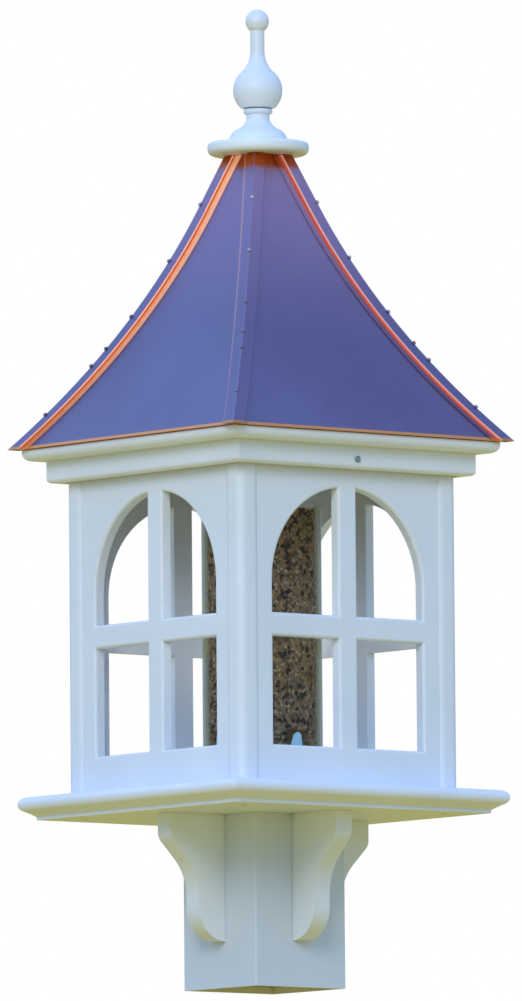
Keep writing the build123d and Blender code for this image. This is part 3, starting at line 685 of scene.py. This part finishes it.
def make_world():
    """White behind the feeder, lit by a blue sky above and a warm ground below."""
    world = bpy.data.worlds.new("studio")
    bpy.context.scene.world = world
    world.use_nodes = True
    tree = world.node_tree
    tree.nodes.clear()
    where = tree.nodes.new("ShaderNodeTexCoord")
    split = tree.nodes.new("ShaderNodeSeparateXYZ")
    tree.links.new(where.outputs["Generated"], split.inputs[0])
    scale = tree.nodes.new("ShaderNodeMapRange")
    scale.inputs["From Min"].default_value = -1.0
    tree.links.new(split.outputs[2], scale.inputs["Value"])
    ramp = tree.nodes.new("ShaderNodeValToRGB")
    elements = ramp.color_ramp.elements
    elements.new(0.5)
    elements.new(0.5)
    for element, (place, colour) in zip(elements, WORLD_STOPS):
        element.position = place
        element.color = colour
    tree.links.new(scale.outputs[0], ramp.inputs[0])
    glow = tree.nodes.new("ShaderNodeBackground")
    tree.links.new(ramp.outputs[0], glow.inputs["Color"])
    plain = tree.nodes.new("ShaderNodeBackground")
    plain.inputs["Color"].default_value = WHITE
    rays = tree.nodes.new("ShaderNodeLightPath")
    choose = tree.nodes.new("ShaderNodeMixShader")
    tree.links.new(rays.outputs["Is Camera Ray"], choose.inputs[0])
    tree.links.new(glow.outputs[0], choose.inputs[1])
    tree.links.new(plain.outputs[0], choose.inputs[2])
    out = tree.nodes.new("ShaderNodeOutputWorld")
    tree.links.new(choose.outputs[0], out.inputs["Surface"])


def make_floor():
    """A plain pale disc on the ground, which takes no shadow and throws no light."""
    bpy.ops.mesh.primitive_circle_add(vertices=96, radius=FLOOR_RADIUS, fill_type="NGON",
                                      location=(0, 0, FLOOR_Z))
    floor = bpy.context.object
    floor.name = "floor"
    m = Nodes("floor")
    tone = m.ramp(m.noise(0.6, 2.0), (0.3, (0.93, 0.93, 0.93, 1)), (0.7, (0.97, 0.97, 0.97, 1)))
    m.finish((0, 0, 0, 1), 1.0, Emission_Color=tone, Emission_Strength=1.0)
    floor.data.materials.append(m.material)
    floor.visible_diffuse = False
    floor.visible_glossy = False
    floor.visible_shadow = False


def soft_light(name, place, size, energy, colour):
    """A large square area light that faces the middle of the feeder."""
    light = bpy.data.lights.new(name, "AREA")
    light.size = size
    light.energy = energy
    light.color = colour
    lamp = bpy.data.objects.new(name, light)
    lamp.location = place
    lamp.rotation_mode = "QUATERNION"
    lamp.rotation_quaternion = (TARGET - Vector(place)).to_track_quat("-Z", "Y")
    lamp.visible_camera = False
    bpy.context.scene.collection.objects.link(lamp)


def inner_light(name, across, energy):
    """A small lamp in the open space beside the tube; stands for daylight through the panels."""
    light = bpy.data.lights.new(name, "POINT")
    light.energy = energy
    light.shadow_soft_size = 0.03
    light.color = DAYLIGHT
    lamp = bpy.data.objects.new(name, light)
    lamp.location = (across, across, FLOOR_TOP + 0.17)
    lamp.visible_camera = False
    lamp.visible_glossy = False
    bpy.context.scene.collection.objects.link(lamp)


def make_camera():
    """A long lens aimed at the middle of the feeder, rolled slightly."""
    data = bpy.data.cameras.new("camera")
    data.lens = LENS_MM
    data.clip_end = 200
    camera = bpy.data.objects.new("camera", data)
    bpy.context.scene.collection.objects.link(camera)
    flat = math.cos(CAMERA_RISE)
    forward = Vector((math.sin(CAMERA_AZIMUTH) * flat, math.cos(CAMERA_AZIMUTH) * flat,
                      math.sin(CAMERA_RISE)))
    level = forward.cross(Vector((0, 0, 1))).normalized()
    upright = level.cross(forward)
    right = level * math.cos(CAMERA_ROLL) - upright * math.sin(CAMERA_ROLL)
    above = level * math.sin(CAMERA_ROLL) + upright * math.cos(CAMERA_ROLL)
    camera.rotation_mode = "QUATERNION"
    camera.rotation_quaternion = Matrix((right, above, -forward)).transposed().to_quaternion()
    camera.location = TARGET - forward * CAMERA_DISTANCE
    bpy.context.scene.camera = camera


make_world()
make_floor()
soft_light("soft_front", (-4.6, -3.9, 3.6), 2.5, 145, (0.93, 0.98, 1.0))
soft_light("soft_key", (-4.0, -1.5, 3.0), 3.0, 10, (1.0, 0.94, 0.88))
soft_light("soft_back", (-0.8, 4.7, 4.3), 4.0, 30, (0.62, 0.78, 1.0))
inner_light("inner_front", -0.095, 0.035)
inner_light("inner_back", 0.095, 0.07)
make_camera()
bpy.context.scene.view_settings.view_transform = "Standard"
